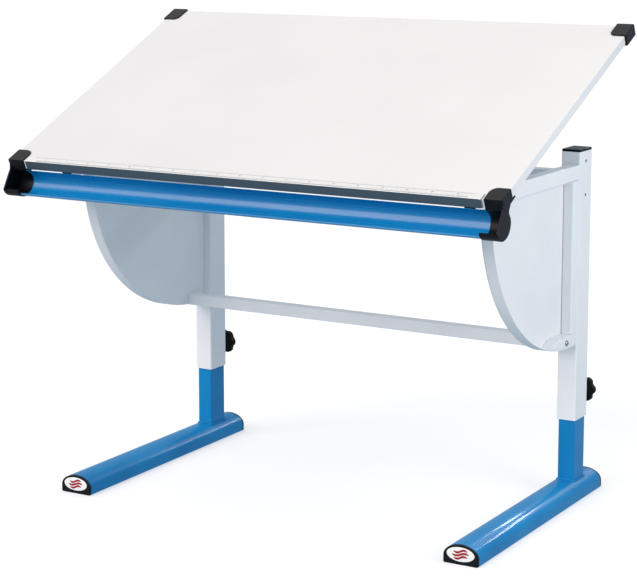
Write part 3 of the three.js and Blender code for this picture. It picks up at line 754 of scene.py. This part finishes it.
def makeClampKnob(name, side):
    # a flat star: its inner and outer rims are quarter rounds, and the hub stands out past them
    low, high = box(f"{name}_clamp_knob")
    inner = low[0] if side > 0 else high[0]
    centre = (clampKnob["y"], (low[2] + high[2]) / 2)
    radius, hub, start, grip, end = (clampKnob[k] for k in ("radius", "hub", "start", "grip", "end"))
    under, turn = clampKnob["under"], clampKnob["round"]
    t = np.linspace(0, np.pi / 2, 6)
    profile = np.vstack([
        [(0, start), (radius - 6, start)],
        np.stack([radius - under + under * np.sin(t), under * (1 - 0.9 * np.cos(t))], 1),
        np.stack([radius - turn + turn * np.cos(t), grip - turn + turn * np.sin(t)], 1),
        [(hub, grip), (hub, end - 0.7), (hub - 0.8, end), (0, end)],
    ])
    profile[:, 1] = inner + side * profile[:, 1]
    shape = starGrip(radius, hub, clampKnob["lobes"], clampKnob["dip"], 1)
    makePiece(f"{name}_clamp_star", [turned(profile, "x", centre, 120, shape)], blackKnob, f"{name}_clamp",
              [f"{name}_clamp_knob"], smooth=50)


boardEdge = {"radius": 2.5, "edge": 1.0}


def paintFaces(made, direction, chosen):
    # the second material goes on the faces that are chosen by their normal's share along a direction
    normals = np.empty(len(made.data.polygons) * 3)
    made.data.polygons.foreach_get("normal", normals)
    picked = chosen(normals.reshape(-1, 3) @ np.array(direction))
    made.data.polygons.foreach_set("material_index", picked.astype(np.int32))


def makeBoard():
    middle = (board["front"] + board["back"]) / 2
    loop = rectangle((0, middle), (2 * board["half"], board["back"] - board["front"]), boardEdge["radius"])
    made = makePiece("board_sheet", [prism(loop, "z", -board["thick"], 0, boardEdge["edge"], 4)],
                     [faceWhite, bandWhite], "top", ["tabletop"], fromBoard)
    a = np.radians(board["angle"])
    paintFaces(made, (0, -np.sin(a), np.cos(a)), lambda share: np.abs(share) < 0.7)


ruler = {"end": 497.5, "width": 18, "thick": 1.5, "drop": 17.5, "skin": 2.1, "lift": 0.3, "zero": -470,
         "ticks": {"millimetre": 2.6, "five": 4.2, "ten": 6.0}, "tick": 0.35, "margin": 1.2, "line": 0.5,
         "lineInset": 2.2, "lineMore": 20, "print": 0.03, "printThick": 0.08, "edge": 0.3,
         "radii": (0.4, 0.4, 0.3, 0.3, 0.4, 0.7)}
numbers = {"first": 20, "step": 50, "size": 4.6, "u": 10.6, "thick": 0.04}


def makeRuler():
    # an angle section: a thick front skin that drops over the board's edge, and a thin face on the board
    w, d, t, lift = ruler["width"], ruler["drop"], ruler["skin"], ruler["lift"]
    top = lift + ruler["thick"]
    corners = [(0, -d), (t, -d), (t, lift), (w, lift), (w, top), (0, top)]
    loop = rounded(corners, ruler["radii"], 3)
    made = makePiece("ruler_profile", [prism(loop, "x", -ruler["end"], ruler["end"], ruler["edge"], 2)],
                     [rulerFace, rulerShadedFront], "top", ["ruler_rail"], fromBoard)
    a = np.radians(board["angle"])
    # the faces turned front and down take the darker copy of the aluminium, which is painted shade
    paintFaces(made, (0, -np.cos(a), -np.sin(a)), lambda share: share > 0.8)
    # a tick each millimetre, longer at fives and tens, and a line along the back edge of the face
    ticks, height, thick = ruler["ticks"], top + ruler["print"], ruler["printThick"]
    at = np.arange(ruler["zero"], -ruler["zero"] + 1)
    length = np.where(at % 10 == 0, ticks["ten"], np.where(at % 5 == 0, ticks["five"], ticks["millimetre"]))
    same = np.ones(len(at))
    centres = np.stack([at, ruler["margin"] + length / 2, same * height], 1)
    size = np.stack([same * ruler["tick"], length, same * thick], 1)
    line = blocks(np.array([[0, w - ruler["lineInset"], height]]),
                  [[ruler["lineMore"] - 2 * ruler["zero"], ruler["line"], thick]])
    makePiece("ruler_ticks", [blocks(centres, size), line], ink, "top", place=fromBoard,
              smooth=20)
    makeNumbers(height)


def makeNumbers(height):
    # centimetres from the scale's zero, one number each step
    shells = []
    for x in range(ruler["zero"] + numbers["first"], numbers["first"] - ruler["zero"], numbers["step"]):
        words = bpy.data.curves.new("number", "FONT")
        words.body = str((x - ruler["zero"]) // 10)
        words.size, words.extrude, words.resolution_u = numbers["size"], numbers["thick"], 2
        words.align_x, words.align_y = "CENTER", "CENTER"
        holder = bpy.data.objects.new("number", words)
        scene.collection.objects.link(holder)
        mesh = meshOf(holder)
        points = np.empty(len(mesh.vertices) * 3)
        mesh.vertices.foreach_get("co", points)
        points = points.reshape(-1, 3) + np.array([x, numbers["u"], height])
        shells.append((points, [list(face.vertices) for face in mesh.polygons]))
        bpy.data.objects.remove(holder)
    makePiece("ruler_numbers", shells, ink, "top", place=fromBoard, smooth=20)


trough = {"u": -11, "v": -44, "long": 26, "deep": 22, "wall": 2.4, "top": -20.3, "sweep": 156,
          "pull": (-1.5, -30), "taper": 0.8, "edge": 0.5}


def troughCurve(offset):
    # down and back along a quadratic curve, then round an ellipse to the low lip
    start = np.array([offset * trough["taper"], trough["top"]])
    back = np.array([trough["u"] + trough["long"] + offset, trough["v"]])
    pull = np.array([back[0] + trough["pull"][0], trough["pull"][1]])
    w = np.linspace(0, 1, 14)[:, None]
    wall = (1 - w) ** 2 * start + 2 * w * (1 - w) * pull + w**2 * back
    radii = (trough["long"] + offset, trough["deep"] + offset)
    bowl = arc((trough["u"], trough["v"]), radii, 0, -trough["sweep"], 34)
    return np.vstack([wall, bowl[1:]])


def makeTray():
    low, high = box("pencil_tray")
    h = trough["wall"] / 2
    loop = np.vstack([troughCurve(h), troughCurve(-h)[::-1]])
    makePiece("tray_channel", [prism(loop, "x", low[0], high[0], trough["edge"], 3)], trayBlue, "top",
              ["pencil_tray"], fromBoard, smooth=40)


cap = {"outer": 539.3, "length": 37, "depth": 39.5, "top": 2.5, "bottom": -21.2, "corner": 16, "edge": 1.0,
       "plate": 4, "long": 29, "deep": 25, "wall": 4.6, "plateInside": 0.3, "wallEdge": 0.8,
       "plateTop": ((0, -8), (28, -8), (31, -20), (15, -31)), "plateNose": ((-38.5, -41.5), (-3.5, -16)),
       "sleeveTop": ((0.4, -17), (27, -17), (15, -31)), "sleeveLip": (9.5, -31)}
hook = {"length": 24, "start": 27.5, "end": 51, "top": -18.4, "inside": (0.4, 0.3), "radius": 2.5,
        "edge": 0.8}


def cornerPlan(side, outer, length, near, far, radii):
    # a block seen from above; radii go round from its inner near corner by way of the outside
    inner = outer - length
    corners = np.array([(inner, near), (outer, near), (outer, far), (inner, far)]) * np.array([side, 1])
    return rounded(corners, radii, 12)


def makeTrayCap(name, side):
    # four closed shells: a block over the board's corner, a hook under the board, a sleeve round the trough's
    # end and a plate that shuts it; the hook and the plate stand a little inside the block, so that no two
    # of their faces share a plane
    inner, outer = cap["outer"] - cap["length"], cap["outer"]
    plan = cornerPlan(side, outer, cap["length"], 0, cap["depth"], [1.5, 1.5, 2.5, cap["corner"]])
    block = prism(plan, "z", cap["bottom"], cap["top"], cap["edge"], 4)

    near, far = outer - hook["length"], outer - hook["inside"][0]
    under = np.array([(near, hook["start"]), (far, hook["start"]), (far, hook["end"]), (near, hook["end"])])
    under = rounded(under * np.array([side, 1]), hook["radius"])
    under = prism(under, "z", cap["bottom"] + hook["inside"][1], hook["top"], hook["edge"])

    centre, wall = (trough["u"], trough["v"]), cap["wall"]
    bowl = arc(centre, (cap["long"], cap["deep"]), 0, -180, 37)
    corners = np.vstack([cap["plateTop"], bowl, cap["plateNose"]])
    radii = np.r_[1, 1, 9, 8, np.zeros(len(bowl)), 3, 5]
    face, back = side * (outer - cap["plateInside"]), side * (outer - cap["plate"])
    plate = prism(rounded(corners, radii, 8), "x", back, face, cap["edge"], 4)

    inside = arc(centre, (cap["long"] - wall, cap["deep"] - wall), -180, 0, 37)
    corners = np.vstack([cap["sleeveTop"], bowl, inside, cap["sleeveLip"]])
    radii = np.r_[0.8, 3, 8, np.zeros(len(bowl) + len(inside)), 6]
    sleeve = prism(rounded(corners, radii, 6), "x", side * inner, back + side, cap["wallEdge"], 3)
    makePiece(f"{name}_corner_cap", [block, under, plate, sleeve], black, "top",
              [f"{name}_tray_cap"], fromBoard, smooth=40)


clip = {"outer": 541.3, "length": 36, "front": 604, "back": 651, "top": 2.8, "bottom": -20.8, "corner": 13,
        "edge": 1.3}


def makeRearClip(name, side):
    plan = cornerPlan(side, clip["outer"], clip["length"], clip["front"], clip["back"],
                      [clip["corner"], 2.5, 2.5, 1.5])
    makePiece(f"{name}_rear_corner", [prism(plan, "z", clip["bottom"], clip["top"], clip["edge"], 4)], black,
              "top", [f"{name}_rear_clip"], fromBoard, smooth=40)


buffer = {"x": 436, "u": 548, "top": -18.3, "radius": 11, "thick": 5, "edge": 1.2, "hole": 4, "sunk": 3.4}


def makeBuffer(name, side):
    # a round pad with a rounded rim, r - edge + edge cos t, and a hole for its screw
    top, radius, edge, hole = buffer["top"], buffer["radius"], buffer["edge"], buffer["hole"]
    bottom, floor = top - buffer["thick"], top - buffer["sunk"]
    t = np.linspace(0, np.pi / 2, 5)
    turn = np.stack([radius - edge + edge * np.cos(t), bottom + edge - edge * np.sin(t)], 1)
    profile = np.vstack([[(0, top), (radius, top)], turn, [(hole, bottom), (hole - 0.4, floor), (0, floor)]])
    makePiece(f"{name}_buffer_pad", [turned(profile, "z", (side * buffer["x"], buffer["u"]))], rubber, "top",
              [f"{name}_rest_buffer"], fromBoard, smooth=40)


def softenCopy(node, name, material, body, width):
    # a copy of a fitting, its flats made whole and its edges rounded by a bevel of that width in mm
    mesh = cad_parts[node].data.copy()
    mesh.materials.clear()
    work = bmesh.new()
    work.from_mesh(mesh)
    bmesh.ops.remove_doubles(work, verts=work.verts, dist=1e-6)
    bmesh.ops.dissolve_limit(work, angle_limit=np.radians(0.5), verts=work.verts, edges=work.edges)
    work.to_mesh(mesh)
    work.free()
    made = finishPiece(name, mesh, material, body, [node])
    bevel = made.modifiers.new("edges", "BEVEL")
    bevel.width, bevel.segments, bevel.limit_method = width * mm, 2, "ANGLE"
    bevel.angle_limit = np.radians(40)


def dressNode(node, material):
    # a CAD part that keeps its own mesh takes a finished material
    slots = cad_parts[node].material_slots
    for each in slots:
        each.material = material
    if not slots:
        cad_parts[node].data.materials.append(material)


print("base")
for name in sides:
    makeFoot(name)
    makeLeg(name)
    dressNode(f"{name}_leg_glide", nylon)
print("frame")
for name, side in sides.items():
    makePost(name, side)
    makeSideFrame(name)
    makeBolts(name, side)
    makeHeightKnob(name)
    makeClampKnob(name, side)
    for fitting in ("rail_bolt_low", "rail_bolt_high", "clamp_stud", "clamp_washer", "height_screw"):
        dressNode(f"{name}_{fitting}", zinc)
makeCrossMembers()
print("top")
makeBoard()
makeRuler()
makeTray()
for name, side in sides.items():
    makeTrayCap(name, side)
    makeRearClip(name, side)
    makeBuffer(name, side)
    softenCopy(f"{name}_tilt_quadrant", f"{name}_quadrant_plate", zinc, "top", 0.5)
